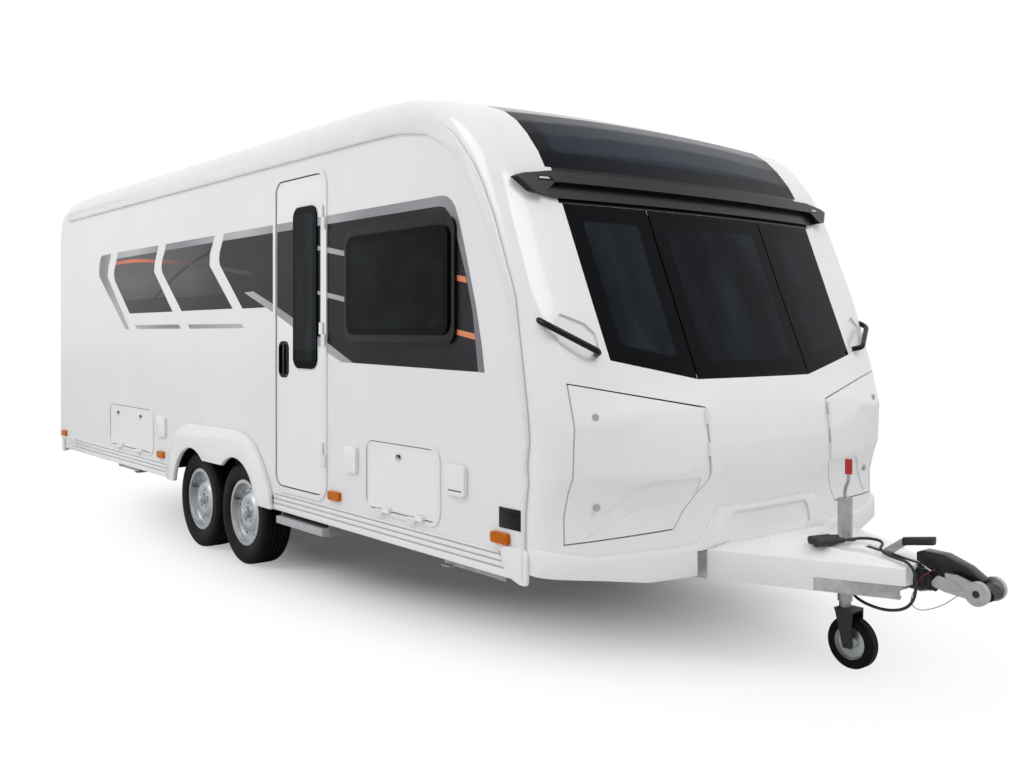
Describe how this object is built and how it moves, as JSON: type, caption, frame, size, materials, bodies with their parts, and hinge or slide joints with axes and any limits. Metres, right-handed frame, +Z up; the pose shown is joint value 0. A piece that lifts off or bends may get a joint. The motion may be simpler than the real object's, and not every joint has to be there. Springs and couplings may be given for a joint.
{
  "type": "travel caravan",
  "caption": "Travel caravan on close-set wheels with a rounded nose, entrance door, lockers, steadies, jockey wheel and overrun coupling.",
  "frame": {"origin": "on the ground below the middle of the overall length and width", "axes": "+X forwards to the coupling, +Y to the left side, +Z up"},
  "size_m": [7.624, 2.399, 2.5823],
  "materials": {
    "coupling_metal": "satin black",
    "cover_grey": "light grey",
    "dark_plastic": "matt black",
    "floor_board": "plain board",
    "galvanised": "galvanised",
    "orange_lens": "orange lens",
    "pale_rail": "satin white",
    "red_lens": "red lens",
    "rubber_grey": "rubber",
    "tinted_window": "tinted acrylic",
    "tyre": "rubber",
    "wheel_steel": "silver",
    "white_panel": "gloss white"
  },
  "bodies": {
    "caravan": {"awning_rails": "pale_rail", "axles": "galvanised", "body_windows": "tinted_window", "breakaway_cable": "rubber_grey", "chassis_rails": "galvanised", "coupling_head": "coupling_metal", "cross_members": "galvanised", "draw_tube": "coupling_metal", "drawbar_cover": "cover_grey", "floor": "floor_board", "front_fairing": "white_panel", "front_panel": "white_panel", "front_windows": "tinted_window", "furniture": "floor_board", "gas_locker_box": "floor_board", "grab_handles": "dark_plastic", "hand_levers": "coupling_metal", "marker_lamps": "orange_lens", "overrun_housing": "coupling_metal", "rear_bumper": "white_panel", "rear_lamps": "red_lens", "rear_panel": "white_panel", "roof_panel": "white_panel", "roof_window": "tinted_window", "rooflights": "white_panel", "service_hatches": "white_panel", "side_wall_left": "white_panel", "side_wall_right": "white_panel", "skirts": "white_panel", "steady_brackets": "galvanised", "step_guides": "galvanised", "tow_cable": "rubber_grey", "tow_plug": "rubber_grey", "visor": "dark_plastic", "wheel_arches": "white_panel", "wheel_boxes": "dark_plastic"},
    "wheel_front_right": {"tyre_front_right": "tyre", "rim_front_right": "wheel_steel"},
    "wheel_front_left": {"tyre_front_left": "tyre", "rim_front_left": "wheel_steel"},
    "wheel_rear_right": {"tyre_rear_right": "tyre", "rim_rear_right": "wheel_steel"},
    "wheel_rear_left": {"tyre_rear_left": "tyre", "rim_rear_left": "wheel_steel"},
    "door": {"entrance_door": "white_panel", "door_window": "tinted_window"},
    "gas_right": {"gas_door_right": "white_panel"},
    "gas_left": {"gas_door_left": "white_panel"},
    "locker_front": {"locker_door_front": "white_panel"},
    "locker_rear": {"locker_door_rear": "white_panel"},
    "rear_leg_right": {"steady_rear_right": "galvanised"},
    "front_leg_right": {"steady_front_right": "galvanised"},
    "rear_leg_left": {"steady_rear_left": "galvanised"},
    "front_leg_left": {"steady_front_left": "galvanised"},
    "step": {"entrance_step": "cover_grey"},
    "jockey_leg": {"jockey_tube": "galvanised", "jockey_crank": "galvanised", "jockey_stem": "galvanised"},
    "jockey_caster": {"jockey_fork": "galvanised"},
    "jockey_roller": {"jockey_wheel": "rubber_grey"}
  },
  "joints": [
    {"name": "wheel_front_right_spin", "type": "hinge", "parent": "caravan", "child": "wheel_front_right", "pos_m": [-0.16, -1.05, 0.307], "axis": [0, 1, 0], "continuous": true},
    {"name": "wheel_front_left_spin", "type": "hinge", "parent": "caravan", "child": "wheel_front_left", "pos_m": [-0.16, 1.05, 0.307], "axis": [0, 1, 0], "continuous": true},
    {"name": "wheel_rear_right_spin", "type": "hinge", "parent": "caravan", "child": "wheel_rear_right", "pos_m": [-0.812, -1.05, 0.307], "axis": [0, 1, 0], "continuous": true},
    {"name": "wheel_rear_left_spin", "type": "hinge", "parent": "caravan", "child": "wheel_rear_left", "pos_m": [-0.812, 1.05, 0.307], "axis": [0, 1, 0], "continuous": true},
    {"name": "entrance_door_hinge", "type": "hinge", "parent": "caravan", "child": "door", "pos_m": [0.887, -1.183, 1.3], "axis": [0, 0, 1], "range_deg": [0, 150]},
    {"name": "gas_door_right_hinge", "type": "hinge", "parent": "caravan", "child": "gas_right", "pos_m": [2.83227, -0.43, 0.794], "axis": [-0.096, 0, 0.9954], "range_deg": [0, 90]},
    {"name": "gas_door_left_hinge", "type": "hinge", "parent": "caravan", "child": "gas_left", "pos_m": [2.83227, 0.43, 0.794], "axis": [0.096, 0, -0.9954], "range_deg": [0, 90]},
    {"name": "front_locker_hinge", "type": "hinge", "parent": "caravan", "child": "locker_front", "pos_m": [1.6, -1.183, 0.541], "axis": [1, 0, 0], "range_deg": [0, 110]},
    {"name": "rear_locker_hinge", "type": "hinge", "parent": "caravan", "child": "locker_rear", "pos_m": [-1.99, -1.183, 0.533], "axis": [1, 0, 0], "range_deg": [0, 110]},
    {"name": "rear_steady_right_pivot", "type": "hinge", "parent": "caravan", "child": "rear_leg_right", "pos_m": [-2.7, -0.985, 0.338], "axis": [0, 1, 0], "range_deg": [0, 40]},
    {"name": "front_steady_right_pivot", "type": "hinge", "parent": "caravan", "child": "front_leg_right", "pos_m": [2.15, -0.985, 0.338], "axis": [0, -1, 0], "range_deg": [0, 40]},
    {"name": "rear_steady_left_pivot", "type": "hinge", "parent": "caravan", "child": "rear_leg_left", "pos_m": [-2.7, 0.985, 0.338], "axis": [0, 1, 0], "range_deg": [0, 40]},
    {"name": "front_steady_left_pivot", "type": "hinge", "parent": "caravan", "child": "front_leg_left", "pos_m": [2.15, 0.985, 0.338], "axis": [0, -1, 0], "range_deg": [0, 40]},
    {"name": "entrance_step_slide", "type": "slide", "parent": "caravan", "child": "step", "axis": [0, -1, 0], "range_m": [0, 0.22]},
    {"name": "jockey_lift", "type": "slide", "parent": "caravan", "child": "jockey_leg", "axis": [0, 0, 1], "range_m": [0, 0.1]},
    {"name": "jockey_swivel", "type": "hinge", "parent": "jockey_leg", "child": "jockey_caster", "pos_m": [3.172, 0, 0.246], "axis": [0, 0, 1], "continuous": true},
    {"name": "jockey_roll", "type": "hinge", "parent": "jockey_caster", "child": "jockey_roller", "pos_m": [3.208, 0, 0.107], "axis": [0, 1, 0], "continuous": true}
  ]
}
